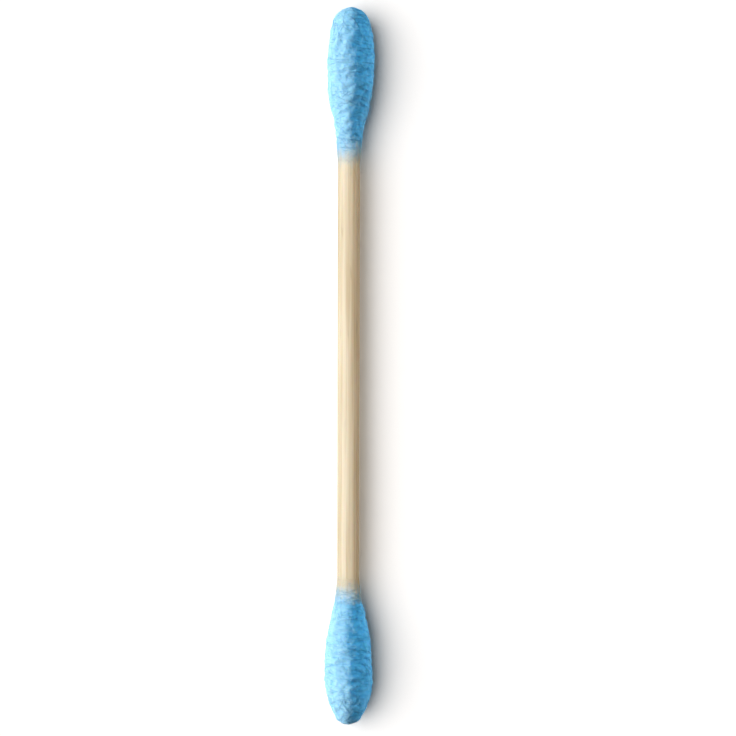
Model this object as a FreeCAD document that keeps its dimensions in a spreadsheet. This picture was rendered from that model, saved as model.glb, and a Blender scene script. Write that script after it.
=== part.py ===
import FreeCAD, Part
import Sketcher
import math
import os

# Double-ended cotton swab: a bamboo stick with a cotton bud wound on each end, lying on a table.
# Millimetres and degrees. The swab lies along Y, the table is z = 0, and the origin is on the
# table, halfway along. The upper bud is the one at the +Y end, the lower bud the one at the -Y end.

SIZES = [
    # alias, value, what it measures
    ("overall_length", 75.0, "tip to tip, over both buds"),
    ("stick_diameter", 2.35, "the stick's round section"),
    ("stick_chamfer", 0.2, "broken edge where the stick was cut to length"),
    ("collar_thickness", 0.08, "last turns of cotton, where the bud ends on the stick"),
    ("settled_depth", 0.06, "how far the slimmer bud is pressed flat where it lies"),
    ("upper_length", 15.6, "tip to the edge of the cotton"),
    ("upper_diameter", 4.92, "at the widest place"),
    ("upper_belly", 5.6, "tip to the widest place"),
    ("upper_tip_radius", 2.0, "the round end"),
    ("upper_neck_radius", 14.0, "the hollow curve that runs out to the collar"),
    ("upper_collar", 0.45, "length of the collar"),
    ("upper_cushion", 1.6, "cotton beyond the end of the stick"),
    ("upper_lean", 1.0, "degrees that the bud leans towards +X, about the collar's end"),
    ("lower_length", 14.7, "tip to the edge of the cotton"),
    ("lower_diameter", 4.98, "at the widest place"),
    ("lower_belly", 5.2, "tip to the widest place"),
    ("lower_tip_radius", 1.55, "the round end"),
    ("lower_neck_radius", 6.0, "the hollow curve that runs out to the collar"),
    ("lower_collar", 0.45, "length of the collar"),
    ("lower_cushion", 1.6, "cotton beyond the end of the stick"),
    ("lower_lean", 0.4, "degrees that the bud leans towards +X, about the collar's end"),
]

# Both buds lie on the table, so the slimmer one sets the height of the stick's axis.
AXIS_HEIGHT = "(min(sizes.upper_diameter; sizes.lower_diameter) / 2 - sizes.settled_depth)"

# Which way each bud points along Y, and the turns that point a sketch's own Y axis straight there and
# along the leaning bud.
BUDS = {
    "upper": {"side": 1, "turn": "0", "leaning_turn": "-sizes.upper_lean"},
    "lower": {"side": -1, "turn": "180", "leaning_turn": "180 + sizes.lower_lean"},
}

PARTS_FOLDER = "parts"
SMALLEST_CUT = 1e-4
SKETCH_NORMAL = FreeCAD.Vector(0, 0, 1)
ORIGIN_POINT = (-1, 1)
VERTICAL_AXIS = -2
START, END, CENTRE = 1, 2, 3

doc = FreeCAD.newDocument("cotton_swab")
sheet = doc.addObject("Spreadsheet::Sheet", "sizes")
for row, (alias, value, meaning) in enumerate(SIZES, start=1):
    sheet.set(f"A{row}", alias)
    sheet.set(f"B{row}", str(value))
    sheet.setAlias(f"B{row}", alias)
    sheet.set(f"C{row}", meaning)
doc.recompute()


def size(alias):
    """A driving dimension as the sheet has it."""
    return float(getattr(sheet, alias))


def point(across, along):
    """A point of a sketch."""
    return FreeCAD.Vector(across, along, 0)


def arc(centre, radius, start, end):
    """An arc that runs counterclockwise from one point to the other."""
    angles = [math.atan2(p.y - centre.y, p.x - centre.x) for p in (start, end)]
    return Part.ArcOfCircle(Part.Circle(centre, SKETCH_NORMAL, radius), *angles)


def add_body(name):
    """A body whose own origin is on the stick's axis, halfway along the swab."""
    body = doc.addObject("PartDesign::Body", name)
    body.Label = name
    body.setExpression(".Placement.Base.z", AXIS_HEIGHT)
    return body


def add_sketch(body, name, plane_role):
    """A sketch on one of the body's origin planes."""
    plane = next(f for f in body.Origin.OriginFeatures if f.Role == plane_role)
    sketch = body.newObject("Sketcher::SketchObject", name)
    sketch.AttachmentSupport = [(plane, "")]
    sketch.MapMode = "FlatFace"
    return sketch


def join(sketch, kind, *elements):
    """A constraint that has no size."""
    sketch.addConstraint(Sketcher.Constraint(kind, *elements))


def drive(sketch, name, expression, kind, *elements):
    """A dimension of the sketch, worked out from the sheet."""
    value = float(sketch.evalExpression(expression))
    index = sketch.addConstraint(Sketcher.Constraint(kind, *elements, value))
    sketch.renameConstraint(index, name)
    sketch.setExpression(f"Constraints.{name}", expression)


def add_polygon(sketch, corners):
    """Straight lines from each corner to the next and back to the first; gives the lines' numbers."""
    following = corners[1:] + corners[:1]
    lines = sketch.addGeometry([Part.LineSegment(a, b) for a, b in zip(corners, following)])
    for line, next_line in zip(lines, lines[1:] + lines[:1]):
        join(sketch, "Coincident", line, END, next_line, START)
    return lines


def check_cut(feature):
    """Stops if a cut took nothing away."""
    doc.recompute()
    if feature.BaseFeature.Shape.Volume - feature.Shape.Volume < SMALLEST_CUT:
        raise RuntimeError(f"{feature.Label} cuts nothing")


def build_stick():
    """The round bamboo stick, which runs into both buds and stops short of their tips."""
    body = add_body("stick")
    section = add_sketch(body, "stick_section", "XZ_Plane")
    section.setExpression(".AttachmentOffset.Base.z", "sizes.overall_length / 2 - sizes.lower_cushion")
    circle = section.addGeometry(Part.Circle(point(0, 0), SKETCH_NORMAL, size("stick_diameter") / 2))
    join(section, "Coincident", circle, CENTRE, *ORIGIN_POINT)
    drive(section, "diameter", "sizes.stick_diameter", "Diameter", circle)

    rod = body.newObject("PartDesign::Pad", "stick_rod")
    rod.Profile = section
    rod.Reversed = True
    rod.setExpression("Length", "sizes.overall_length - sizes.upper_cushion - sizes.lower_cushion")
    doc.recompute()

    numbered_edges = enumerate(rod.Shape.Edges, start=1)
    round_edges = [f"Edge{number}" for number, edge in numbered_edges if isinstance(edge.Curve, Part.Circle)]
    ends = body.newObject("PartDesign::Chamfer", "stick_cut_ends")
    ends.Base = (rod, round_edges)
    ends.setExpression("Size", "sizes.stick_chamfer")
    check_cut(ends)
    return body


def bud_outline(body, bud):
    """Half of a bud's outline: the round tip, the belly, the hollow neck and the thin collar.

    The sketch's origin is the middle of the collar's end, and its Y axis runs out to the tip.
    """
    length = size(f"{bud}_length")
    radius = size(f"{bud}_diameter") / 2
    belly = length - size(f"{bud}_belly")
    tip_radius = size(f"{bud}_tip_radius")
    neck_radius = size(f"{bud}_neck_radius")
    collar = size(f"{bud}_collar")
    collar_radius = size("stick_diameter") / 2 + size("collar_thickness")

    # The belly is two arcs that meet at its widest place. The front one touches the tip's arc from
    # outside and the back one touches the neck's, and that gives both their radii.
    tip_centre = point(0, length - tip_radius)
    to_tip = tip_centre.y - belly
    spare = radius - tip_radius
    front_radius = (to_tip**2 + radius**2 - tip_radius**2) / (2 * spare)
    front_centre = point(radius - front_radius, belly)

    neck_centre = point(collar_radius + neck_radius, collar)
    to_neck = belly - collar
    drop = radius - collar_radius
    back_radius = (to_neck**2 + drop**2) / (2 * drop) - neck_radius
    back_centre = point(radius - back_radius, belly)

    tip = point(0, length)
    shoulder = front_centre + (tip_centre - front_centre).normalize() * front_radius
    widest = point(radius, belly)
    waist = back_centre + (neck_centre - back_centre).normalize() * back_radius
    collar_start = point(collar_radius, collar)
    collar_end = point(collar_radius, 0)

    sketch = add_sketch(body, f"{bud}_outline", "XY_Plane")
    tip_arc, front_arc, back_arc, neck_arc, collar_line, end_line, axis_line = sketch.addGeometry(
        [
            arc(tip_centre, tip_radius, shoulder, tip),
            arc(front_centre, front_radius, widest, shoulder),
            arc(back_centre, back_radius, waist, widest),
            arc(neck_centre, neck_radius, waist, collar_start),
            Part.LineSegment(collar_start, collar_end),
            Part.LineSegment(collar_end, point(0, 0)),
            Part.LineSegment(point(0, 0), tip),
        ]
    )
    join(sketch, "Tangent", tip_arc, START, front_arc, END)
    join(sketch, "Tangent", front_arc, START, back_arc, END)
    join(sketch, "Tangent", back_arc, START, neck_arc, START)
    join(sketch, "Tangent", neck_arc, END, collar_line, START)
    join(sketch, "Coincident", collar_line, END, end_line, START)
    join(sketch, "Coincident", end_line, END, axis_line, START)
    join(sketch, "Coincident", axis_line, END, tip_arc, END)
    join(sketch, "Coincident", axis_line, START, *ORIGIN_POINT)
    join(sketch, "PointOnObject", axis_line, END, VERTICAL_AXIS)
    join(sketch, "PointOnObject", tip_arc, CENTRE, VERTICAL_AXIS)
    join(sketch, "Horizontal", front_arc, START, front_arc, CENTRE)
    join(sketch, "Vertical", collar_line)
    join(sketch, "Horizontal", end_line)
    drive(sketch, "length", f"sizes.{bud}_length", "DistanceY", axis_line, START, axis_line, END)
    drive(sketch, "belly", f"sizes.{bud}_belly", "DistanceY", front_arc, START, tip_arc, END)
    drive(sketch, "widest", f"sizes.{bud}_diameter / 2", "DistanceX", *ORIGIN_POINT, front_arc, START)
    drive(sketch, "tip_radius", f"sizes.{bud}_tip_radius", "Radius", tip_arc)
    drive(sketch, "neck_radius", f"sizes.{bud}_neck_radius", "Radius", neck_arc)
    drive(sketch, "collar", f"sizes.{bud}_collar", "DistanceY", collar_line, END, collar_line, START)
    collar_radius_rule = "sizes.stick_diameter / 2 + sizes.collar_thickness"
    drive(sketch, "collar_radius", collar_radius_rule, "DistanceX", *ORIGIN_POINT, collar_line, END)
    return sketch


def bore_outline(body, bud):
    """Half of the bore's outline, with the stick's own chamfer at its blind end.

    The sketch's origin is halfway along the swab, and its Y axis points to this bud.
    """
    end = size("overall_length") / 2 - size(f"{bud}_cushion")
    mouth = size("overall_length") / 2 - size(f"{bud}_length") - size("stick_diameter")
    radius = size("stick_diameter") / 2
    chamfer = size("stick_chamfer")

    sketch = add_sketch(body, f"{bud}_bore_outline", "XY_Plane")
    corners = [
        point(0, mouth),
        point(radius, mouth),
        point(radius, end - chamfer),
        point(radius - chamfer, end),
        point(0, end),
    ]
    mouth_line, wall_line, chamfer_line, end_line, axis_line = add_polygon(sketch, corners)
    join(sketch, "Horizontal", mouth_line)
    join(sketch, "Vertical", wall_line)
    join(sketch, "Horizontal", end_line)
    join(sketch, "PointOnObject", axis_line, START, VERTICAL_AXIS)
    join(sketch, "PointOnObject", axis_line, END, VERTICAL_AXIS)
    mouth_rule = f"sizes.overall_length / 2 - sizes.{bud}_length - sizes.stick_diameter"
    end_rule = f"sizes.overall_length / 2 - sizes.{bud}_cushion"
    drive(sketch, "mouth", mouth_rule, "DistanceY", *ORIGIN_POINT, axis_line, END)
    drive(sketch, "end", end_rule, "DistanceY", *ORIGIN_POINT, axis_line, START)
    drive(sketch, "radius", "sizes.stick_diameter / 2", "DistanceX", mouth_line, START, mouth_line, END)
    chamfer_start, chamfer_end = (chamfer_line, START), (chamfer_line, END)
    drive(sketch, "chamfer_across", "sizes.stick_chamfer", "DistanceX", *chamfer_end, *chamfer_start)
    drive(sketch, "chamfer_along", "sizes.stick_chamfer", "DistanceY", *chamfer_start, *chamfer_end)
    return sketch


def settled_outline(body, bud):
    """A rectangle at the table's height that covers the whole bud, whichever way it leans."""
    reach = size(f"{bud}_diameter")
    inner = size("overall_length") / 2 - size(f"{bud}_length")
    outer = size("overall_length") / 2

    sketch = add_sketch(body, f"{bud}_settled_outline", "XY_Plane")
    corners = [point(-reach, inner), point(reach, inner), point(reach, outer), point(-reach, outer)]
    inner_line, right_line, outer_line, left_line = add_polygon(sketch, corners)
    join(sketch, "Horizontal", inner_line)
    join(sketch, "Vertical", right_line)
    join(sketch, "Horizontal", outer_line)
    join(sketch, "Vertical", left_line)
    drive(sketch, "left", f"sizes.{bud}_diameter", "DistanceX", inner_line, START, *ORIGIN_POINT)
    drive(sketch, "right", f"sizes.{bud}_diameter", "DistanceX", *ORIGIN_POINT, inner_line, END)
    inner_rule = f"sizes.overall_length / 2 - sizes.{bud}_length"
    drive(sketch, "inner", inner_rule, "DistanceY", *ORIGIN_POINT, inner_line, START)
    drive(sketch, "outer", "sizes.overall_length / 2", "DistanceY", *ORIGIN_POINT, outer_line, START)
    return sketch


def build_bud(bud):
    """A bud wound round one end of the stick, with the small flat that it lies on."""
    side, turn, leaning_turn = (BUDS[bud][key] for key in ("side", "turn", "leaning_turn"))
    body = add_body(f"{bud}_bud")

    # The bud leans about the middle of its collar's end, and its tip still reaches the full length.
    outline = bud_outline(body, bud)
    leaning_part = f"(sizes.{bud}_length - sizes.{bud}_tip_radius) * cos(sizes.{bud}_lean)"
    collar_end = f"sizes.overall_length / 2 - sizes.{bud}_tip_radius - {leaning_part}"
    outline.setExpression(".AttachmentOffset.Rotation.Angle", leaning_turn)
    outline.setExpression(".AttachmentOffset.Base.y", f"{side} * ({collar_end})")
    cotton = body.newObject("PartDesign::Revolution", f"{bud}_cotton")
    cotton.Profile = outline
    cotton.ReferenceAxis = (outline, ["V_Axis"])
    cotton.Angle = 360
    doc.recompute()

    # The stick fills this bore, wall to wall and end to end.
    bore_sketch = bore_outline(body, bud)
    bore_sketch.setExpression(".AttachmentOffset.Rotation.Angle", turn)
    bore = body.newObject("PartDesign::Groove", f"{bud}_bore")
    bore.Profile = bore_sketch
    bore.ReferenceAxis = (bore_sketch, ["V_Axis"])
    bore.Angle = 360
    check_cut(bore)

    # Soft cotton lies flat where it carries the swab.
    settled_sketch = settled_outline(body, bud)
    settled_sketch.setExpression(".AttachmentOffset.Rotation.Angle", turn)
    settled_sketch.setExpression(".AttachmentOffset.Base.z", f"-{AXIS_HEIGHT}")
    settled = body.newObject("PartDesign::Pocket", f"{bud}_settled_flat")
    settled.Profile = settled_sketch
    settled.Type = "ThroughAll"
    check_cut(settled)
    return body


def check_model(bodies):
    """Stops if any feature failed, any sketch is loose, or any piece isn't one sound solid."""
    for item in doc.Objects:
        if {"Invalid", "Error"} & set(item.State):
            raise RuntimeError(f"{item.Label} failed: {item.State}")
        if item.isDerivedFrom("Sketcher::SketchObject") and (item.solve() != 0 or not item.FullyConstrained):
            raise RuntimeError(f"{item.Label} is not fully constrained")
    for body in bodies:
        if body.Shape.isNull() or not body.Shape.isValid() or len(body.Shape.Solids) != 1:
            raise RuntimeError(f"{body.Label} is not one valid solid")


def write_parts(bodies):
    """One file for each piece, named after it."""
    os.makedirs(PARTS_FOLDER, exist_ok=True)
    for body in bodies:
        body.Shape.exportStep(os.path.join(PARTS_FOLDER, f"{body.Label}.step"))


bodies = [build_stick()] + [build_bud(bud) for bud in BUDS]
doc.recompute()
check_model(bodies)
write_parts(bodies)
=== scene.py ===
import math

import bpy
import numpy as np
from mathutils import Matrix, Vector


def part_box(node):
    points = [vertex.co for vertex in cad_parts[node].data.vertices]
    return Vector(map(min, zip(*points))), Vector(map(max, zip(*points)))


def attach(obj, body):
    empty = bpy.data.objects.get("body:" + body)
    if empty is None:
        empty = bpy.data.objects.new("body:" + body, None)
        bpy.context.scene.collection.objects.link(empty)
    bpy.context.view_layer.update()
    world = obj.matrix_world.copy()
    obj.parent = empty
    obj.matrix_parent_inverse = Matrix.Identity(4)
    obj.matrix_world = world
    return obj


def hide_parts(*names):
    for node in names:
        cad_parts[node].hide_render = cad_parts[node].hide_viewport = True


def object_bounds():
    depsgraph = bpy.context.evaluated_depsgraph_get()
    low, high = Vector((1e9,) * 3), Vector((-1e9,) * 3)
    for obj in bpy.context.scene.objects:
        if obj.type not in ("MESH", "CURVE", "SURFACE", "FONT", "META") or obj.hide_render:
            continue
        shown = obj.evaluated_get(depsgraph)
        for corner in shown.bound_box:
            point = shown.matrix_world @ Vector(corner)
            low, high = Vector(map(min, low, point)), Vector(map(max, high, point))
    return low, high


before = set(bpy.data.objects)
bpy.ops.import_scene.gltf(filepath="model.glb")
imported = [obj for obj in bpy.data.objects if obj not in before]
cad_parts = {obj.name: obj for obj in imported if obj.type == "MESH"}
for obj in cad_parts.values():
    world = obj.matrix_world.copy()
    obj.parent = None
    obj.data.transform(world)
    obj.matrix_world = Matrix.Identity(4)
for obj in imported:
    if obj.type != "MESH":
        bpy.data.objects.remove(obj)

# A double-ended cotton swab on a white surface. The stick and the two buds of the frame are
# replaced by detailed meshes of the same size: a grained bamboo stick, and for each bud a core of
# wound strands, the single fibres that lie on it, and a thin sleeve of cotton on its neck, which
# fades out over the stick. Lengths are in millimetres unless a name says otherwise, and become
# metres where a mesh, a material or the camera is made. A place on a bud is given by its run, the
# way along the outline from the collar's end to the tip, and its turn round the axis, in radians:
# 0 is the bud's right side.

MM = 0.001
SEED = 20341
TOP = math.pi / 2

# Places read off the photograph in its own pixels, and how far the picture is turned
PHOTO_SIDE = 736.0
TOP_TIP_ROW = 8.0
BOTTOM_TIP_ROW = 724.5
STICK_COLUMN = 348.6
PHOTO_TURN_DEG = 0.13

# The frame's buds: the thin collar that each begins with, and what tells its outer surface from
# its bore, its end face and the flat that it rests on
COLLAR_LENGTH = 0.45
COLLAR_THICKNESS = 0.02
END_FACE_SLANT = 0.06
OUTSIDE_STICK = 0.03
BEYOND_STICK = 0.05
FLAT_BELOW_AXIS = 0.5
ROUNDING = 0.01

# The outline of a bud, from the thin cotton on the stick to the tip
TAIL = 2.6
ROUND_TIP = 0.6
SIDE_SAMPLES = 180
TIP_SAMPLES = 60
OUTLINE_SAMPLES = 700

# The mesh of the cotton: the runs that the neck's sleeve and the core cover, how they sink into
# each other or into the stick where they end, and how near the cotton comes to the table
NECK_START = -1.2
NECK_END = 2.6
NECK_ROWS = 60
NECK_SINK = 0.05
CORE_START = -0.3
CORE_EDGE = {"upper_bud": 0.9, "lower_bud": 1.4}
CORE_EDGE_WANDER = 0.35
CORE_EDGE_SOFTNESS = 0.4
CORE_SINK = 0.09
CORE_COLUMNS = 300
CORE_ROWS = 300
LAST_RING_TO_TIP = 0.02
END_POINT_RISE = 0.004
FLOOR_GAP = 0.002

# The runs between which bare wood turns into full cotton colour
FADES = {"upper_bud": (-1.4, 1.7), "lower_bud": (-0.8, 2.4)}

# The relief of the cotton: the runs over which it grows, how deep each kind of it is, and its size
# along x, y and z. The two flats beside the ridge reach a given turn away from the top.
RELIEF_GROWS = (-0.4, 3.0)
RIDGE_DEPTH = 0.068
FLATS_REACH_RAD = 1.15
LUMP_DEPTH = 0.045
LUMP_SIZE = 3.4
CLUMP_DEPTH = 0.037
CLUMP_SIZE = (1.05, 0.8, 1.05)
PIT_DEPTH = 0.036
PIT_SIZE = (0.62, 0.45, 0.62)
PIT_RANGE = (0.1, 1.8)
STRAND_DEPTH = 0.022
MEAN_STRAND = 0.62

# The strands of one bud by kind: how many there are, the spread of their length, width and height,
# where 1 is the highest, and the share of the single fibres that lies along them
STRANDS = {
    "long": {"count": 520, "length": (2.5, 8), "width": (0.06, 0.12), "height": (0.3, 0.8), "fibres": 0.62},
    "slant": {"count": 300, "length": (0.8, 2.4), "width": (0.06, 0.11), "height": (0.5, 1), "fibres": 0.14},
    "tuft": {"count": 420, "length": (0.25, 0.8), "width": (0.06, 0.12), "height": (0.4, 0.95), "fibres": 0},
    "tip": {"count": 260, "length": (1.2, 4), "width": (0.06, 0.12), "height": (0.3, 0.9), "fibres": 0.24},
}
STRAND_STEPS = 110

# How the strands run: where they start, how they slant and bend, in radians, and how near they
# come to the ends of the bud
FIRST_TUFT = 0.5
NO_STARTS_AT_TIP = 0.4
CROSSED_TIP = 3.2
LONG_SLANT_SPREAD = 0.13
SLANTS = (0.35, 0.95)
BEND_ROUND = 0.35
BEND_ACROSS = 0.9
END_MARGIN = 0.1

# The single fibres: how many of each kind, and how they lie
FIBRE_RADIUS = 0.011
FIBRE_STEPS = 12
FIBRES_ALONG = 700
FIBRES_ROUND = 180
FIBRES_ASTRAY = 300
FIBRES_ON_NECK = 70
FIRST_ON_BUD = 0.3
FIRST_ON_NECK = -1.5
FIBRE_LIFT = 0.012
FIBRE_END_DIP = 0.06
FIBRE_MOST_RISE = 0.3

# The stick
STICK_COLUMNS = 96
STICK_ROWS = 420
STICK_CHAMFER = 0.2
GRAIN_DEPTH = 0.012
GRAIN_TOP = 0.3
WAVE_DEPTH = 0.006
WAVE_TOP = 1.5

# The margins of the bake maps, as shares of the map or of a fibre's own cell
MAP_EDGE = 0.02
CELL_EDGE = 0.15

# Colours, as linear light
# The cotton's hollow and ridge colours are painted shade and painted light: deeper blue in the hollows,
# paler on the ridges. The main colour is the cotton's own.
COTTON_RIDGE_HIGHLIGHT = (0.41, 0.74, 0.93)
COTTON_MAIN = (0.37, 0.70, 0.91)
COTTON_HOLLOW_SHADE = (0.33, 0.67, 0.90)
BAMBOO_LIGHT = (0.83, 0.70, 0.47)
BAMBOO_MAIN = (0.66, 0.51, 0.29)
BAMBOO_DARK = (0.42, 0.30, 0.16)
BLACK = (0, 0, 0)
FLECK_GREY = (0.35, 0.35, 0.35)
BUMP_HEIGHT = 0.03 * MM

# Each lamp: the edge it stands at (0 left, 90 top, 180 right), its height over the table and its
# width, all in degrees, then its strength and its colour
COTTON_KEY = (1.0, 20.0, 8.0, 4.15, (1.0, 1.0, 1.0))
COTTON_FILL = (145.0, 28.0, 42.0, 2.0, (0.08, 0.64, 1.0))
STICK_KEY = (0.0, 47.0, 56.0, 3.2, (0.97, 1.02, 1.13))
STICK_FILL = (180.0, 30.0, 90.0, 0.55, (1.0, 0.76, 0.5))
TABLE_KEY = (0.0, 56.0, 66.0, 2.45, (1.0, 0.98, 0.965))
AMBIENT = 0.07
FLOOR_SEEN = 1.5
FLOOR_PLAIN = 0.8
FLOOR_HALF_SIDE_M = 1.5

rng = np.random.default_rng(SEED)
cad_low, cad_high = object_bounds()


def unit(vectors):
    """The same vectors at length 1."""
    length = np.linalg.norm(vectors, axis=-1, keepdims=True)
    return vectors / np.maximum(length, 1e-9)


def smoothstep(low, high, values):
    """0 below low, 1 above high, and a smooth rise between them."""
    x = np.clip((values - low) / (high - low), 0, 1)
    return x * x * (3 - 2 * x)


def pairs(first, second):
    """Two arrays, spread to one shape, as the two numbers of each point."""
    return np.stack(np.broadcast_arrays(first, second), axis=-1)


def taper(steps, power):
    """From 0 at both ends to 1 in the middle."""
    return np.sin(math.pi * np.linspace(0, 1, steps)) ** power


class Ripple:
    """Smooth random values in space, mostly from -1 to 1: many plane waves near one wavelength."""

    WAVES = 32
    STRETCH = (0.7, 1.45)

    def __init__(self, generator):
        self.directions = unit(generator.normal(0, 1, (self.WAVES, 3)))
        self.stretch = generator.uniform(*self.STRETCH, self.WAVES)
        self.phase = generator.uniform(0, 2 * math.pi, self.WAVES)

    def __call__(self, points, wavelength):
        scaled = points / np.asarray(wavelength, float) * 2 * math.pi
        total = np.zeros(points.shape[:-1])
        for direction, stretch, phase in zip(self.directions, self.stretch, self.phase):
            total += np.sin(scaled @ (direction * stretch) + phase)
        return total / math.sqrt(self.WAVES)


lump_ripple = Ripple(rng)
clump_ripple = Ripple(rng)
edge_ripple = Ripple(rng)
grain_ripple = Ripple(rng)


class Bud:
    """One wound bud: its place, its lean and its outline, all measured on the frame's node."""

    def __init__(self, node, side):
        self.node, self.side = node, side
        stick_low, stick_high = (np.array(corner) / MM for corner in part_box("stick"))
        low, high = (np.array(corner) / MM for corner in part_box(node))
        spots = np.array([v.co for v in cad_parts[node].data.vertices]) / MM
        self.stick_radius = (stick_high[0] - stick_low[0]) / 2
        axis_height = (stick_low[2] + stick_high[2]) / 2

        along = spots[:, 1] * side
        face = along[along < along.min() + END_FACE_SLANT]
        collar_end = (face.min() + face.max()) / 2
        widest = along[spots[:, 0].argmax()]
        lean = (low[0] + high[0]) / 2 / (widest - collar_end)
        self.pivot = np.array([0.0, side * collar_end, axis_height])
        self.straight = np.array([0.0, side, 0.0])
        self.axis = unit(np.array([lean, side, 0.0]))
        self.up = np.array([0.0, 0.0, 1.0])
        self.across = np.cross(self.axis, self.up) * side

        stick_end = stick_high[1] if side > 0 else -stick_low[1]
        from_stick = np.hypot(spots[:, 0], spots[:, 2] - axis_height)
        rel = spots - self.pivot
        depth = rel @ self.axis
        reach = np.linalg.norm(rel - depth[:, None] * self.axis, axis=1)
        outer = (from_stick > self.stick_radius + OUTSIDE_STICK) | (along > stick_end + BEYOND_STICK)
        outer &= (spots[:, 2] > axis_height - FLAT_BELOW_AXIS) & (depth > COLLAR_LENGTH - ROUNDING)
        order = np.argsort(depth[outer])
        self.make_outline(depth[outer][order], reach[outer][order])

    def make_outline(self, depth, reach):
        """The outline as even steps of run, from the thin tail on the stick to the tip."""
        side = np.linspace(-TAIL, depth[-1] - ROUND_TIP, SIDE_SAMPLES)
        tip = depth[-1] - ROUND_TIP * np.linspace(1, 0, TIP_SAMPLES)[1:] ** 2
        grid = np.concatenate([side, tip])
        tail_depth = [-TAIL, NECK_START, 0.0]
        tail_reach = [self.stick_radius, self.stick_radius, self.stick_radius + COLLAR_THICKNESS]
        reach = np.interp(grid, np.concatenate([tail_depth, depth]), np.concatenate([tail_reach, reach]))
        reach[-1] = 0.0
        run = np.concatenate([[0], np.cumsum(np.hypot(np.diff(grid), np.diff(reach)))])
        run -= np.interp(0.0, grid, run)
        self.length = run[-1]
        self.run = np.linspace(run[0], self.length, OUTLINE_SAMPLES)
        self.depth = self.smooth(np.interp(self.run, run, grid))
        self.reach = self.smooth(np.interp(self.run, run, reach))
        self.reach[-1] = 0.0
        slope_depth = np.gradient(self.depth, self.run)
        slope_reach = np.gradient(self.reach, self.run)
        size = np.hypot(slope_depth, slope_reach)
        self.out_depth = -slope_reach / size
        self.out_reach = slope_depth / size

    @staticmethod
    def smooth(values, half_width=9):
        """A moving average that keeps both ends."""
        weights = np.hanning(2 * half_width + 3)[1:-1]
        before = 2 * values[0] - values[half_width:0:-1]
        after = 2 * values[-1] - values[-2 : -half_width - 2 : -1]
        return np.convolve(np.concatenate([before, values, after]), weights / weights.sum(), "valid")

    def radius_at(self, run):
        return np.interp(run, self.run, self.reach)

    def place(self, run, turn, height):
        """Points a height above the outline, and the directions straight out of it there."""
        out_depth = np.interp(run, self.run, self.out_depth)[..., None]
        out_reach = np.interp(run, self.run, self.out_reach)[..., None]
        depth = np.interp(run, self.run, self.depth)[..., None]
        reach = np.interp(run, self.run, self.reach)[..., None]
        ring = np.cos(turn)[..., None] * self.across + np.sin(turn)[..., None] * self.up
        middle = self.pivot + np.maximum(depth, 0) * self.axis + np.minimum(depth, 0) * self.straight
        normals = unit(out_depth * self.axis + out_reach * ring)
        return middle + reach * ring + height[..., None] * normals, normals


class Paths:
    """Many lines on a bud, each with its own width and height, as rows of runs and turns."""

    KEYS = ("runs", "turns", "widths", "heights")

    def __init__(self, runs, turns, widths, heights):
        self.runs, self.turns, self.widths, self.heights = runs, turns, widths, heights

    @classmethod
    def joined(cls, groups):
        return cls(*(np.concatenate([getattr(group, key) for group in groups]) for key in cls.KEYS))


def walk_round(bud, starts, slants, lengths, steps, generator):
    """Lines round the bud: each keeps its own slant to the circle, which drifts a little."""
    least_radius = 0.4
    count = len(starts)
    run, turn = starts, generator.uniform(0, 2 * math.pi, count)
    step = lengths / (steps - 1)
    drift = generator.normal(0, BEND_ROUND, count) / steps
    runs, turns = [run], [turn]
    for _ in range(steps - 1):
        run = np.clip(run + step * np.sin(slants), bud.run[0] + END_MARGIN, bud.length - END_MARGIN)
        turn = turn + step * np.cos(slants) / np.maximum(bud.radius_at(run), least_radius)
        slants = slants + drift
        runs.append(run)
        turns.append(turn)
    return np.stack(runs, axis=1), np.stack(turns, axis=1)


def walk_across(bud, starts, lengths, steps, generator):
    """Lines in any direction: each bends a little, and may pass over the tip."""
    least_radius, most_squeeze, least_away = 0.05, 8, 0.02
    count = len(starts)
    away, turn = bud.length - starts, generator.uniform(0, 2 * math.pi, count)
    heading = generator.uniform(0, 2 * math.pi, count)
    drift = generator.normal(0, BEND_ACROSS, count) / steps
    step = (lengths / (steps - 1))[:, None]
    spot = pairs(away * np.cos(turn), away * np.sin(turn))
    spots = [spot]
    for _ in range(steps - 1):
        away = np.linalg.norm(spot, axis=1)
        squeeze = away / np.maximum(bud.radius_at(bud.length - away), least_radius)
        outward = unit(spot)
        along = pairs(np.cos(heading), np.sin(heading))
        radial = (along * outward).sum(axis=1, keepdims=True) * outward
        spot = spot + step * (radial + (along - radial) * np.clip(squeeze, 1, most_squeeze)[:, None])
        heading = heading + drift
        spots.append(spot)
    path = np.stack(spots, axis=1)
    away = np.clip(np.linalg.norm(path, axis=2), least_away, bud.length - bud.run[0] - END_MARGIN)
    return bud.length - away, np.arctan2(path[..., 1], path[..., 0])


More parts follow.
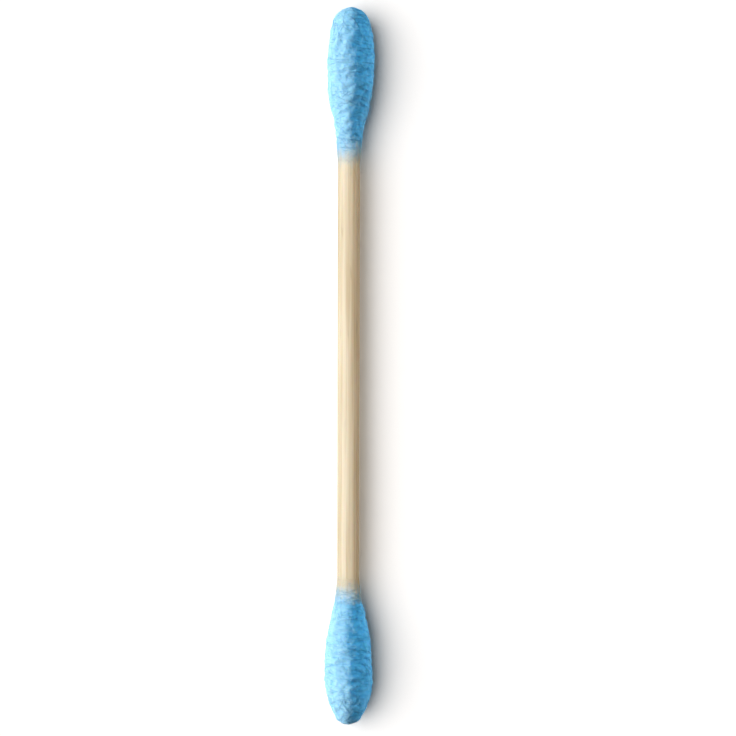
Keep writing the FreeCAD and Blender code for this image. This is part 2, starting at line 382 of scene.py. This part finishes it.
class Winding:
    """How high the wound strands stand, from 0 to 1, drawn on two flat maps of a bud: its side
    unrolled, and its tip laid flat."""

    CELL = 0.045
    COLUMNS = 340
    TIP_REACH = 3.6
    TIP_BLEND = (1.9, 2.9)
    OVERLAP = 0.3
    LEAST_RADIUS = 0.5
    CELLS_EACH_WAY = 4
    COLUMNS_EACH_WAY = 7
    END_TAPER = 0.4

    def __init__(self, bud):
        self.bud = bud
        self.start = bud.run[0]
        rows = int((bud.length - self.start) / self.CELL) + 2
        self.tip_cells = int(2 * self.TIP_REACH / self.CELL) + 2
        self.side_map = np.zeros((rows, self.COLUMNS))
        self.tip_map = np.zeros((self.tip_cells, self.tip_cells))

    def side_spot(self, runs, turns):
        return (runs - self.start) / self.CELL, (turns / (2 * math.pi)) % 1 * self.COLUMNS

    def tip_spot(self, runs, turns):
        away = (self.bud.length - runs) / self.CELL
        return self.tip_cells / 2 + away * np.cos(turns), self.tip_cells / 2 + away * np.sin(turns)

    def stamp(self, picture, spots, column_size, widths, heights, column_span):
        """Draws a round-topped ridge at each spot, where it is higher than what is there."""
        rows, columns = spots
        row_count, column_count = picture.shape
        base_row, base_column = np.floor(rows).astype(int), np.floor(columns).astype(int)
        for i in range(-self.CELLS_EACH_WAY, self.CELLS_EACH_WAY + 1):
            for j in range(-column_span, column_span + 1):
                row, column = base_row + i, base_column + j
                squared = ((row - rows) * self.CELL) ** 2 + ((column - columns) * column_size) ** 2
                value = heights * (1 - squared / widths**2)
                good = (value > 0) & (row >= 0) & (row < row_count)
                np.maximum.at(picture, (row[good], column[good] % column_count), value[good])

    def draw(self, paths):
        runs, turns = paths.runs.ravel(), paths.turns.ravel()
        steps = paths.runs.shape[1]
        widths = np.repeat(paths.widths, steps)
        heights = (paths.heights[:, None] * taper(steps, self.END_TAPER)).ravel()
        column_size = 2 * math.pi / self.COLUMNS * np.maximum(self.bud.radius_at(runs), self.LEAST_RADIUS)
        side = runs < self.bud.length - self.TIP_BLEND[0] + self.OVERLAP
        spots = self.side_spot(runs[side], turns[side])
        self.stamp(
            self.side_map, spots, column_size[side], widths[side], heights[side], self.COLUMNS_EACH_WAY
        )
        tip = runs > self.bud.length - self.TIP_BLEND[1] - self.OVERLAP
        spots = self.tip_spot(runs[tip], turns[tip])
        self.stamp(self.tip_map, spots, self.CELL, widths[tip], heights[tip], self.CELLS_EACH_WAY)

    @staticmethod
    def look_up(picture, rows, columns):
        """Values between the cells of a map, each mixed from the four cells round it."""
        row_count, column_count = picture.shape
        last_whole_cell = row_count - 1.001
        rows = np.clip(rows, 0, last_whole_cell)
        low_row, low_column = np.floor(rows).astype(int), np.floor(columns).astype(int)
        down, right = rows - low_row, columns - low_column
        low_column, next_column = low_column % column_count, (low_column + 1) % column_count
        upper = picture[low_row, low_column] * (1 - right) + picture[low_row, next_column] * right
        lower = picture[low_row + 1, low_column] * (1 - right) + picture[low_row + 1, next_column] * right
        return upper * (1 - down) + lower * down

    def __call__(self, runs, turns):
        side = self.look_up(self.side_map, *self.side_spot(runs, turns))
        tip = self.look_up(self.tip_map, *self.tip_spot(runs, turns))
        share = smoothstep(*self.TIP_BLEND, self.bud.length - runs)
        return tip * (1 - share) + side * share


def wound_strands(bud, generator):
    """The strands of one bud: long ones round it, slanting ones over them, tufts and a crossed tip."""
    counts = {kind: values["count"] for kind, values in STRANDS.items()}
    last_start = bud.length - NO_STARTS_AT_TIP

    def spread(kind, key):
        return generator.uniform(*STRANDS[kind][key], counts[kind])

    def round_bud(kind, slants):
        starts = generator.uniform(0, last_start, counts[kind])
        return walk_round(bud, starts, slants, spread(kind, "length"), STRAND_STEPS, generator)

    def across_bud(kind, starts, steps):
        return walk_across(bud, starts, spread(kind, "length"), steps, generator)

    small_slants = generator.normal(0, LONG_SLANT_SPREAD, counts["long"])
    slants = generator.uniform(*SLANTS, counts["slant"])
    slants = slants * generator.choice([-1, 1], counts["slant"])
    walks = {"long": round_bud("long", small_slants), "slant": round_bud("slant", slants)}
    starts = generator.uniform(FIRST_TUFT, last_start, counts["tuft"])
    walks["tuft"] = across_bud("tuft", starts, STRAND_STEPS // 4)
    starts = bud.length - CROSSED_TIP * np.sqrt(generator.uniform(0, 1, counts["tip"]))
    walks["tip"] = across_bud("tip", starts, STRAND_STEPS)
    return [Paths(*walks[kind], spread(kind, "width"), spread(kind, "height")) for kind in STRANDS]


class Skin:
    """The cotton's surface on one bud: lumps, clumps, pits and wound strands over the outline."""

    def __init__(self, bud, strands):
        self.bud = bud
        self.winding = Winding(bud)
        for paths in strands:
            self.winding.draw(paths)

    def __call__(self, runs, turns):
        """The height above the outline, and how far it stands out of its hollows, from 0 to 1. The colour
        uses that as painted shade: deeper blue in the hollows and paler on the ridges.
        """
        plain, _ = self.bud.place(runs, turns, np.zeros_like(runs))
        strand = self.winding(runs, turns)
        clump = clump_ripple(plain, CLUMP_SIZE)
        pit = smoothstep(*PIT_RANGE, edge_ripple(plain, PIT_SIZE))
        cover = smoothstep(*RELIEF_GROWS, runs)
        height = cover * (LUMP_DEPTH * lump_ripple(plain, LUMP_SIZE) + CLUMP_DEPTH * clump - PIT_DEPTH * pit)
        height += (0.2 + 0.8 * cover) * STRAND_DEPTH * (strand - MEAN_STRAND)
        height -= RIDGE_DEPTH * self.flats(runs, turns, plain)
        # Painted shade: the tone is low in pits and hollows and high on strands and clumps.
        tone = 0.25 + 0.6 * strand + 0.08 * clump - 0.3 * pit
        return height, np.clip(tone, 0, 1)

    def flats(self, runs, turns, plain):
        """How deep the two flats lie that leave a soft ridge along the top, from 0 to 1."""
        wander = 0.10 * clump_ripple(plain, (1.0, 0.75, 1.0)) + 0.07 * lump_ripple(plain, LUMP_SIZE)
        from_top = (turns - TOP + math.pi) % (2 * math.pi) - math.pi + wander
        across = np.clip(np.abs(from_top) / FLATS_REACH_RAD, 0, 1)
        along = smoothstep(0.8, 4.0, runs) * smoothstep(0.4, 3.0, self.bud.length - runs)
        return along * 0.5 * (1 - np.cos(2 * math.pi * across))


def cotton_share(bud, points, runs):
    """How much cotton colour shows: all of it on the bud, none where the wood is bare."""
    tongues = 0.2 * edge_ripple(points, (0.6, 1.6, 0.6))
    wisps = 0.12 * clump_ripple(points, (0.25, 0.8, 0.25))
    return smoothstep(*FADES[bud.node], runs + (tongues + wisps))


def grid_faces(rows, columns, flip):
    """Quads of a tube of rings, and at each end a fan to one more point."""
    ring = np.arange(columns)
    following = (ring + 1) % columns
    base = (np.arange(rows - 1) * columns)[:, None]
    above = base + columns
    quads = np.stack([base + ring, base + following, above + following, above + ring], axis=-1)
    first, last, top = rows * columns, rows * columns + 1, (rows - 1) * columns
    start_fan = np.stack([following, ring, np.full(columns, first)], axis=-1)
    end_fan = np.stack([top + ring, top + following, np.full(columns, last)], axis=-1)
    order = slice(None, None, -1) if flip else slice(None)
    return quads.reshape(-1, 4)[:, order], np.concatenate([start_fan, end_fan])[:, order]


def grid_uv(rows, columns, flip):
    """A flat layout for grid_faces: turns go across, rings go up, and the fans lie in thin strips."""
    u = np.arange(columns + 1) / columns
    v = np.linspace(MAP_EDGE, 1 - MAP_EDGE, rows)
    left, right = u[:-1], u[1:]
    low, high = v[:-1, None], v[1:, None]
    quads = np.stack([pairs(left, low), pairs(right, low), pairs(right, high), pairs(left, high)], axis=-2)
    middle = (left + right) / 2
    strip = MAP_EDGE / 2
    start_fan = np.stack([pairs(right, v[0]), pairs(left, v[0]), pairs(middle, v[0] - strip)], axis=1)
    end_fan = np.stack([pairs(left, v[-1]), pairs(right, v[-1]), pairs(middle, v[-1] + strip)], axis=1)
    order = slice(None, None, -1) if flip else slice(None)
    return quads.reshape(-1, 4, 2)[:, order], np.concatenate([start_fan, end_fan])[:, order]


def new_mesh_object(name, points, faces, uvs, attributes, material):
    """An object with a bake map, and for each attribute one number at each point."""
    mesh = bpy.data.meshes.new(name)
    quads, triangles = faces
    mesh.from_pydata((points * MM).tolist(), [], quads.tolist() + triangles.tolist())
    layer = mesh.uv_layers.new(name="OFBake")
    flat = np.concatenate([part.reshape(-1, 2) for part in uvs])
    layer.data.foreach_set("uv", flat.ravel().astype(np.float32))
    for key, values in attributes.items():
        attribute = mesh.attributes.new(key, "FLOAT", "POINT")
        attribute.data.foreach_set("value", np.asarray(values, np.float32))
    mesh.shade_smooth()
    mesh.materials.append(material)
    obj = bpy.data.objects.new(name, mesh)
    bpy.context.scene.collection.objects.link(obj)
    return obj


def with_ends(values):
    """A value for each grid point, and the first and last ring's mean for the two end points."""
    return np.concatenate([values.ravel(), [values[0].mean(), values[-1].mean()]])


def stand_on_table(points, gap):
    """Moves whatever would reach below the table up to lie flat on it."""
    points[..., 2] = np.maximum(points[..., 2], gap)


def make_sleeve(bud, skin, run, sink, name, material):
    """The cotton's surface over some runs as a closed mesh. sink says how far each of its points
    lies below that surface, from their runs and their places on the plain outline."""
    turn = np.arange(CORE_COLUMNS) / CORE_COLUMNS * 2 * math.pi
    runs, turns = np.meshgrid(run, turn, indexing="ij")
    plain, _ = bud.place(runs, turns, np.zeros_like(runs))
    height, tone = skin(runs, turns)
    points, _ = bud.place(runs, turns, height - sink(runs, plain))
    stand_on_table(points, FLOOR_GAP)
    ends = np.array([points[0].mean(axis=0), points[-1].mean(axis=0) + bud.axis * END_POINT_RISE])
    flip = bud.side > 0
    share = cotton_share(bud, plain, runs)
    # The tone from the skin is painted shade: darker in the hollows, paler on the ridges.
    attributes = {
        "tone_with_relief_shade": with_ends(tone),
        "cotton_share": with_ends(share),
        "grain_tone": np.full(share.size + len(ends), 0.5),
    }
    return new_mesh_object(
        name,
        np.concatenate([points.reshape(-1, 3), ends]),
        grid_faces(len(run), CORE_COLUMNS, flip),
        grid_uv(len(run), CORE_COLUMNS, flip),
        attributes,
        material,
    )


def make_core(bud, skin, name, material):
    """The wound cotton, with a ragged edge that sinks into the thin cotton of the neck."""

    def sink(runs, plain):
        edge = CORE_EDGE[bud.node] + CORE_EDGE_WANDER * edge_ripple(plain, (0.5, 1.0, 0.5))
        return CORE_SINK * (1 - smoothstep(edge - CORE_EDGE_SOFTNESS, edge + CORE_EDGE_SOFTNESS, runs))

    run = np.linspace(CORE_START, bud.length - LAST_RING_TO_TIP, CORE_ROWS)
    return make_sleeve(bud, skin, run, sink, name, material)


def make_neck(bud, skin, name, material):
    """Thin cotton round the stick where the winding begins. It sinks into the stick at one end, and
    into the core at the other."""

    def sink(runs, plain):
        into_stick = NECK_SINK * (1 - smoothstep(-1.0, -0.2, runs))
        return into_stick + CORE_SINK * smoothstep(NECK_END - 0.6, NECK_END, runs)

    run = np.linspace(NECK_START, NECK_END, NECK_ROWS)
    return make_sleeve(bud, skin, run, sink, name, material)


def tube_mesh(name, centres, normals, radii, attributes, material):
    """Closed three-sided tubes along many paths, each with its own cell of the bake map."""
    sides = 3
    count, steps, _ = centres.shape
    tangents = unit(np.gradient(centres, axis=1))
    side = unit(np.cross(tangents, normals))
    lift = np.cross(side, tangents)
    angle = np.arange(sides) * 2 * math.pi / sides
    ring = np.cos(angle)[:, None] * lift[:, :, None, :] + np.sin(angle)[:, None] * side[:, :, None, :]
    points = centres[:, :, None, :] + radii[:, :, None, None] * ring
    stand_on_table(points, FLOOR_GAP)

    first = (np.arange(count) * steps * sides)[:, None, None]
    row = (np.arange(steps - 1) * sides)[None, :, None]
    corner = np.arange(sides)[None, None, :]
    following = (corner + 1) % sides
    base = first + row
    above = base + sides
    quads = np.stack([base + corner, base + following, above + following, above + corner], axis=-1)
    start_caps = first[:, 0] + np.array([2, 1, 0])
    end_caps = first[:, 0] + (steps - 1) * sides + np.array([0, 1, 2])

    cells = math.ceil(math.sqrt(count))
    size = (1 - 2 * CELL_EDGE) / cells
    left = ((np.arange(count) % cells + CELL_EDGE) / cells)[:, None, None]
    low = ((np.arange(count) // cells + CELL_EDGE) / cells)[:, None, None]
    step = np.arange(steps - 1)[None, :, None]
    u0, u1 = left + size * corner / sides, left + size * (corner + 1) / sides
    v0, v1 = low + size * step / (steps - 1), low + size * (step + 1) / (steps - 1)
    uv_quads = np.stack([pairs(u0, v0), pairs(u1, v0), pairs(u1, v1), pairs(u0, v1)], axis=-2)
    cap = pairs(left[:, 0], low[:, 0]) + size * np.array([[0, 0], [1, 0], [0.5, 0.1]])
    uv_triangles = np.concatenate([cap, cap + np.array([0, (1 - CELL_EDGE) * size])])
    return new_mesh_object(
        name,
        points.reshape(-1, 3),
        (quads.reshape(-1, 4), np.concatenate([start_caps, end_caps])),
        (uv_quads, uv_triangles),
        {key: np.repeat(values.ravel(), sides) for key, values in attributes.items()},
        material,
    )


def fibre_paths(bud, strands, generator):
    """Where one bud's single fibres lie, how thick they are, and how high they arch."""
    weight = bud.reach * (bud.run > FIRST_ON_BUD)
    weight = weight / weight.sum()

    def along(paths, count):
        pick = generator.integers(0, len(paths.widths), count)
        every = np.linspace(0, paths.runs.shape[1] - 1, FIBRE_STEPS).astype(int)
        shift = generator.uniform(-1, 1, count) * paths.widths[pick]
        turn = generator.normal(0, 0.04, count)
        runs = paths.runs[pick][:, every] + shift[:, None]
        turns = paths.turns[pick][:, every] + turn[:, None]
        widths = generator.uniform(0.8, 1.3, count)
        heights = generator.uniform(0, 0.03, count)
        return Paths(runs, turns, widths, heights)

    def on_neck(count):
        starts = generator.uniform(FIRST_ON_NECK, NECK_END, count)
        slants = generator.uniform(0.15, 1.1, count) * generator.choice([-1, 1], count)
        lengths = generator.uniform(0.9, 3.2, count)
        walk = walk_round(bud, starts, slants, lengths, FIBRE_STEPS, generator)
        widths = generator.uniform(0.5, 0.9, count)
        heights = generator.uniform(0, 0.03, count)
        return Paths(*walk, widths, heights)

    def round_bud(count):
        starts = generator.choice(bud.run, count, p=weight)
        slants = generator.normal(0, 0.3, count)
        lengths = generator.uniform(1.5, 6, count)
        walk = walk_round(bud, starts, slants, lengths, FIBRE_STEPS, generator)
        widths = generator.uniform(0.7, 1.2, count)
        heights = generator.uniform(0, 0.05, count)
        return Paths(*walk, widths, heights)

    def astray(count):
        starts = generator.choice(bud.run, count, p=weight)
        lengths = generator.uniform(0.7, 2.6, count)
        walk = walk_across(bud, starts, lengths, FIBRE_STEPS, generator)
        widths = generator.uniform(0.5, 1.0, count)
        heights = np.minimum(generator.exponential(0.07, count), FIBRE_MOST_RISE)
        return Paths(*walk, widths, heights)

    shares = [values["fibres"] for values in STRANDS.values()]
    groups = [along(paths, int(share * FIBRES_ALONG)) for paths, share in zip(strands, shares)]
    neck = on_neck(FIBRES_ON_NECK)
    return Paths.joined([*groups, round_bud(FIBRES_ROUND), astray(FIBRES_ASTRAY), neck])


def make_fibres(bud, skin, strands, name, material, generator):
    """Single fibres: most lie along the strands, some stray across them, and a few stand off. Those
    on the neck are thinner, and keep close to the stick."""
    paths = fibre_paths(bud, strands, generator)
    height, tone = skin(paths.runs, paths.turns)
    on_bud = smoothstep(-0.6, 0.4, paths.runs)
    arch = taper(FIBRE_STEPS, 0.45)
    rise = paths.heights[:, None] * arch * (0.3 + 0.7 * on_bud)
    height = height * on_bud + FIBRE_LIFT - FIBRE_END_DIP * (1 - arch) + rise
    centres, normals = bud.place(paths.runs, paths.turns, height)
    stand_on_table(centres, FLOOR_GAP + FIBRE_RADIUS)
    plain, _ = bud.place(paths.runs, paths.turns, np.zeros_like(height))
    share = cotton_share(bud, plain, paths.runs)
    radii = FIBRE_RADIUS * paths.widths[:, None] * (0.3 + 0.7 * arch) * (0.35 + 0.65 * share)
    # The fibres take the painted shade of the cotton under them, and a random tone of their own.
    own_tone = 0.06 + generator.normal(0, 0.10, len(tone))
    tone = np.clip(tone + own_tone[:, None], 0, 1)
    attributes = {
        "tone_with_relief_shade": tone,
        "cotton_share": 0.3 + 0.7 * share,
        "grain_tone": np.full(share.shape, 0.5),
    }
    return tube_mesh(name, centres, normals, radii, attributes, material)


def make_stick(name, buds, material):
    """The bamboo stick: lengthwise grain, cut ends, and blue beside the buds."""
    low, high = (np.array(corner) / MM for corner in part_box("stick"))
    radius = (high[0] - low[0]) / 2
    centre = (low + high) / 2
    body = np.linspace(low[1] + STICK_CHAMFER, high[1] - STICK_CHAMFER, STICK_ROWS)
    along = np.concatenate([[low[1]], body, [high[1]]])
    narrow = radius - STICK_CHAMFER
    base = np.concatenate([[narrow], np.full(STICK_ROWS, radius), [narrow]])
    turn = np.arange(STICK_COLUMNS) / STICK_COLUMNS * 2 * math.pi
    alongs, turns = np.meshgrid(along, turn, indexing="ij")
    ring = np.stack([np.cos(turns), np.zeros_like(turns), np.sin(turns)], axis=-1)
    skin = ring * radius
    skin[..., 1] = alongs
    grain = 0.6 * grain_ripple(skin, (0.3, 30.0, 0.3)) + 0.4 * clump_ripple(skin, (0.16, 9.0, 0.16))
    wave = lump_ripple(skin, (2.5, 12.0, 2.5))
    grooves = GRAIN_DEPTH * (np.minimum(grain, GRAIN_TOP) - GRAIN_TOP)
    reach = base[:, None] + grooves + WAVE_DEPTH * (wave - WAVE_TOP)
    points = ring * reach[..., None] + np.array([centre[0], 0, centre[2]])
    points[..., 1] = alongs
    ends = np.array([[centre[0], low[1], centre[2]], [centre[0], high[1], centre[2]]])
    share = np.zeros_like(alongs)
    for bud in buds:
        share += cotton_share(bud, skin + np.array([0, 0, centre[2]]), alongs * bud.side - abs(bud.pivot[1]))
    rows = len(along)
    return new_mesh_object(
        name,
        np.concatenate([points.reshape(-1, 3), ends]),
        grid_faces(rows, STICK_COLUMNS, True),
        grid_uv(rows, STICK_COLUMNS, True),
        {"grain_tone": with_ends(0.5 + 0.5 * grain), "cotton_share": with_ends(share)},
        material,
    )


class Nodes:
    """Short names for building one material's or world's nodes."""

    def __init__(self, owner):
        owner.use_nodes = True
        self.tree = owner.node_tree
        self.tree.nodes.clear()

    def add(self, kind, inputs=(), **settings):
        node = self.tree.nodes.new(kind)
        for key, value in settings.items():
            setattr(node, key, value)
        for socket, value in dict(inputs).items():
            if isinstance(value, bpy.types.NodeSocket):
                self.tree.links.new(value, node.inputs[socket])
            else:
                node.inputs[socket].default_value = value
        return node

    def attribute(self, name):
        return self.add("ShaderNodeAttribute", attribute_name=name).outputs["Fac"]

    def scaled(self, value, factor, offset):
        """value times factor plus offset, where offset may be another socket."""
        inputs = {0: value, 1: factor, 2: offset}
        return self.add("ShaderNodeMath", inputs, operation="MULTIPLY_ADD").outputs[0]

    def larger(self, first, second):
        return self.add("ShaderNodeMath", {0: first, 1: second}, operation="MAXIMUM").outputs[0]

    def mix(self, factor, first, second):
        return self.add("ShaderNodeMix", {0: factor, 6: first, 7: second}, data_type="RGBA").outputs[2]

    def mix_shaders(self, factor, first, second):
        return self.add("ShaderNodeMixShader", {0: factor, 1: first.outputs[0], 2: second.outputs[0]})

    def ramp(self, factor, *stops):
        node = self.add("ShaderNodeValToRGB", {"Fac": factor})
        elements = node.color_ramp.elements
        while len(elements) < len(stops):
            elements.new(0.5)
        for element, (place, colour) in zip(elements, stops):
            element.position = place
            element.color = (*colour, 1)
        return node.outputs["Color"]

    def noise(self, per_metre, stretch, detail):
        where = self.add("ShaderNodeTexCoord").outputs["Object"]
        mapping = self.add("ShaderNodeMapping", {"Vector": where, "Scale": stretch})
        inputs = {"Vector": mapping.outputs[0], "Scale": per_metre, "Detail": detail}
        return self.add("ShaderNodeTexNoise", inputs).outputs["Fac"]

    def bump(self, height, strength):
        inputs = {"Height": height, "Strength": strength, "Distance": BUMP_HEIGHT}
        return self.add("ShaderNodeBump", inputs).outputs["Normal"]

    def finish(self, shader, kind="ShaderNodeOutputMaterial"):
        self.add(kind, {"Surface": shader.outputs[0]})


def wood_colour(nodes, grain_tone):
    """Bamboo: pale and darker lines along the stick, and short brown flecks. Gives the colour and
    the lines."""
    lines = nodes.noise(1500.0, (1.0, 0.035, 1.0), 4.0)
    flecks = nodes.noise(2600.0, (1.0, 0.10, 1.0), 1.0)
    tone = nodes.scaled(grain_tone, 0.3, lines)
    wood = nodes.ramp(tone, (0.38, BAMBOO_MAIN), (0.75, BAMBOO_LIGHT))
    fleck = nodes.ramp(flecks, (0.68, BLACK), (0.80, FLECK_GREY))
    return nodes.mix(fleck, wood, (*BAMBOO_DARK, 1)), lines


def cotton_material(name, soft):
    """Pale blue cotton with painted shade, paler on the ridges and deeper blue in the hollows, and wood
    where it thins out.
    A soft one also has fine bumps, and lets light in under its surface."""
    material = bpy.data.materials.new(name)
    nodes = Nodes(material)
    streaks = nodes.noise(2200.0, (1.0, 5.0, 1.0), 3.0)
    tone = nodes.scaled(streaks, 0.3, nodes.scaled(nodes.attribute("tone_with_relief_shade"), 1.0, -0.15))
    # The ramp paints shade: the hollow colour where the tone is low, the ridge colour where it is high, with
    # random streaks.
    cotton = nodes.ramp(tone, (0.15, COTTON_HOLLOW_SHADE), (0.55, COTTON_MAIN), (0.95, COTTON_RIDGE_HIGHLIGHT))
    wood, _ = wood_colour(nodes, nodes.attribute("grain_tone"))
    inputs = {
        "Base Color": nodes.mix(nodes.attribute("cotton_share"), wood, cotton),
        "Roughness": 0.8,
        "Specular IOR Level": 0.1,
    }
    if soft:
        inputs["Subsurface Weight"] = 0.3
        inputs["Subsurface Scale"] = MM
        inputs["Subsurface Radius"] = (0.1, 0.2, 0.4)
        inputs["Normal"] = nodes.bump(streaks, 0.5)
    nodes.finish(nodes.add("ShaderNodeBsdfPrincipled", inputs))
    return material


def bamboo_material(name):
    """Pale bamboo with lengthwise grain, and a blue tint beside the buds."""
    material = bpy.data.materials.new(name)
    nodes = Nodes(material)
    wood, lines = wood_colour(nodes, nodes.attribute("grain_tone"))
    inputs = {
        "Base Color": nodes.mix(nodes.attribute("cotton_share"), wood, (*COTTON_MAIN, 1)),
        "Normal": nodes.bump(lines, 0.5),
        "Roughness": 0.55,
        "Specular IOR Level": 0.5,
        "Subsurface Weight": 0.4,
        "Subsurface Scale": MM,
        "Subsurface Radius": (1.0, 0.55, 0.25),
    }
    nodes.finish(nodes.add("ShaderNodeBsdfPrincipled", inputs))
    return material


def sees_background(nodes):
    """1 for the rays that should see a white background: those of the camera, gloss and glass."""
    path = nodes.add("ShaderNodeLightPath").outputs
    camera_or_gloss = nodes.larger(path["Is Camera Ray"], path["Is Glossy Ray"])
    return nodes.larger(camera_or_gloss, path["Is Transmission Ray"])


def make_floor():
    """A plain table, which is white where it is seen and pale for the light that it throws back."""
    material = bpy.data.materials.new("white_table")
    nodes = Nodes(material)
    plain = nodes.add("ShaderNodeBsdfDiffuse", {"Color": (FLOOR_PLAIN,) * 3 + (1,)})
    seen = nodes.add("ShaderNodeBsdfDiffuse", {"Color": (FLOOR_SEEN,) * 3 + (1,)})
    nodes.finish(nodes.mix_shaders(sees_background(nodes), plain, seen))
    side = FLOOR_HALF_SIDE_M
    corners = [(-side, -side, 0), (side, -side, 0), (side, side, 0), (-side, side, 0)]
    mesh = bpy.data.meshes.new("table")
    mesh.from_pydata(corners, [], [(0, 1, 2, 3)])
    mesh.materials.append(material)
    floor = bpy.data.objects.new("table", mesh)
    bpy.context.scene.collection.objects.link(floor)
    return floor


def make_lamp(name, settings, lit, bounces=4):
    """A far lamp that lights only some objects. With no bounces, its colour isn't thrown on from
    them to what lies beside them."""
    bearing_deg, elevation_deg, width_deg, strength, colour = settings
    lamp = bpy.data.lights.new(name, "SUN")
    lamp.energy = strength
    lamp.color = colour
    lamp.angle = math.radians(width_deg)
    lamp.cycles.max_bounces = bounces
    sun = bpy.data.objects.new(name, lamp)
    sun.rotation_euler = (0, -math.radians(90 - elevation_deg), -math.radians(bearing_deg))
    bpy.context.scene.collection.objects.link(sun)
    receivers = bpy.data.collections.new(f"lit_by_{name}")
    for obj in lit:
        receivers.objects.link(obj)
    sun.light_linking.receiver_collection = receivers


def make_light(cotton, wood, table):
    """A tall window to the left, as a lamp for each group of objects: its low part lights the
    cotton, its middle the wood, and its upper part the table. On the shaded side, a blue lamp at the
    upper right fills in the cotton, and a weak warm one at the right the wood. The world is dim, and
    seen as white."""
    make_lamp("cotton_key", COTTON_KEY, cotton)
    make_lamp("cotton_fill", COTTON_FILL, cotton, bounces=0)
    make_lamp("stick_key", STICK_KEY, wood)
    make_lamp("stick_fill", STICK_FILL, wood)
    make_lamp("table_key", TABLE_KEY, [table])
    world = bpy.data.worlds.new("studio")
    bpy.context.scene.world = world
    nodes = Nodes(world)
    ambient = nodes.add("ShaderNodeBackground", {"Color": (1, 1, 1, 1), "Strength": AMBIENT})
    white = nodes.add("ShaderNodeBackground", {"Color": (1, 1, 1, 1), "Strength": 1.0})
    nodes.finish(nodes.mix_shaders(sees_background(nodes), ambient, white), "ShaderNodeOutputWorld")


def make_camera():
    """Straight down, framed as in the photograph."""
    pixel = (cad_high.y - cad_low.y) / (BOTTOM_TIP_ROW - TOP_TIP_ROW)
    middle_row = (TOP_TIP_ROW + BOTTOM_TIP_ROW) / 2
    data = bpy.data.cameras.new("camera")
    data.sensor_width = 36.0
    data.lens = 100.0
    data.clip_start = 0.01
    stick_low, stick_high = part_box("stick")
    distance = PHOTO_SIDE * pixel / data.sensor_width * data.lens
    camera = bpy.data.objects.new("camera", data)
    camera.location = (
        (PHOTO_SIDE / 2 - STICK_COLUMN) * pixel,
        (middle_row - PHOTO_SIDE / 2) * pixel,
        (stick_low.z + stick_high.z) / 2 + distance,
    )
    camera.rotation_euler = (0, 0, math.radians(PHOTO_TURN_DEG))
    bpy.context.scene.collection.objects.link(camera)
    bpy.context.scene.camera = camera


buds = [Bud("upper_bud", 1), Bud("lower_bud", -1)]
wound_cotton = cotton_material("wound_cotton", True)
cotton_fibre = cotton_material("cotton_fibre", False)

cotton, necks = [], []
for bud in buds:
    strands = wound_strands(bud, rng)
    skin = Skin(bud, strands)
    core = make_core(bud, skin, f"{bud.node}_cotton", wound_cotton)
    fibres = make_fibres(bud, skin, strands, f"{bud.node}_fibres", cotton_fibre, rng)
    neck = make_neck(bud, skin, f"{bud.node}_neck", wound_cotton)
    for piece in (core, fibres, neck):
        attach(piece, "root")
    cotton += [core, fibres]
    necks.append(neck)
    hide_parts(bud.node)

stick = make_stick("bamboo_stick", buds, bamboo_material("bamboo"))
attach(stick, "root")
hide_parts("stick")

table = make_floor()
make_light(cotton, [stick, *necks], table)
make_camera()
bpy.context.scene.view_settings.view_transform = "Standard"
